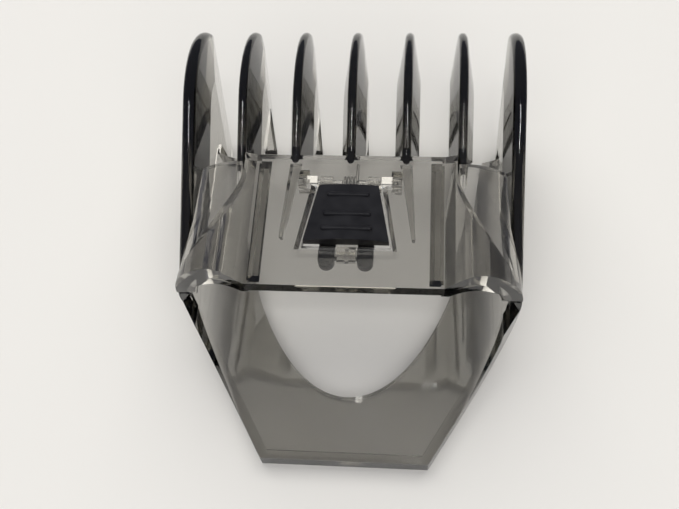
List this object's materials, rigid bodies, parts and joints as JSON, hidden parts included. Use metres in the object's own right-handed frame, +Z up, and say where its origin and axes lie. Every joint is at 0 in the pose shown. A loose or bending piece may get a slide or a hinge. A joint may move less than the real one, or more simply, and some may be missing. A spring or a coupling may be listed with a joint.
{
  "type": "clipper guard comb",
  "caption": "Clear smoke-grey slide-on guard comb for a hair clipper: open sleeve with a strap tongue, wedge fins and a sprung black release button.",
  "frame": {"origin": "centre of the footprint, on the surface the comb rests on", "axes": "+X across the fins, +Y along the sleeve from its mouth to the fins, +Z up, out of the button's face"},
  "size_m": [0.046, 0.0578, 0.0255],
  "materials": {
    "smoke_plastic": "clear smoke-grey, gloss",
    "black_plastic": "fine satin",
    "steel": "ground bright",
    "spring_steel": "drawn wire"
  },
  "bodies": {
    "comb": {"comb_body": "smoke_plastic", "pivot_pin": "steel", "return_spring": "spring_steel"},
    "button": {"release_button": "black_plastic", "rocker_lever": "smoke_plastic"}
  },
  "joints": [
    {"name": "button_press", "type": "hinge", "parent": "comb", "child": "button", "pos_m": [0, 0.00474, 0.0171], "axis": [1, 0, 0], "range_deg": [0, 6], "stiffness_Nm_per_rad": 0.01, "springref_deg": -22.92, "deforming": ["return_spring"]}
  ]
}
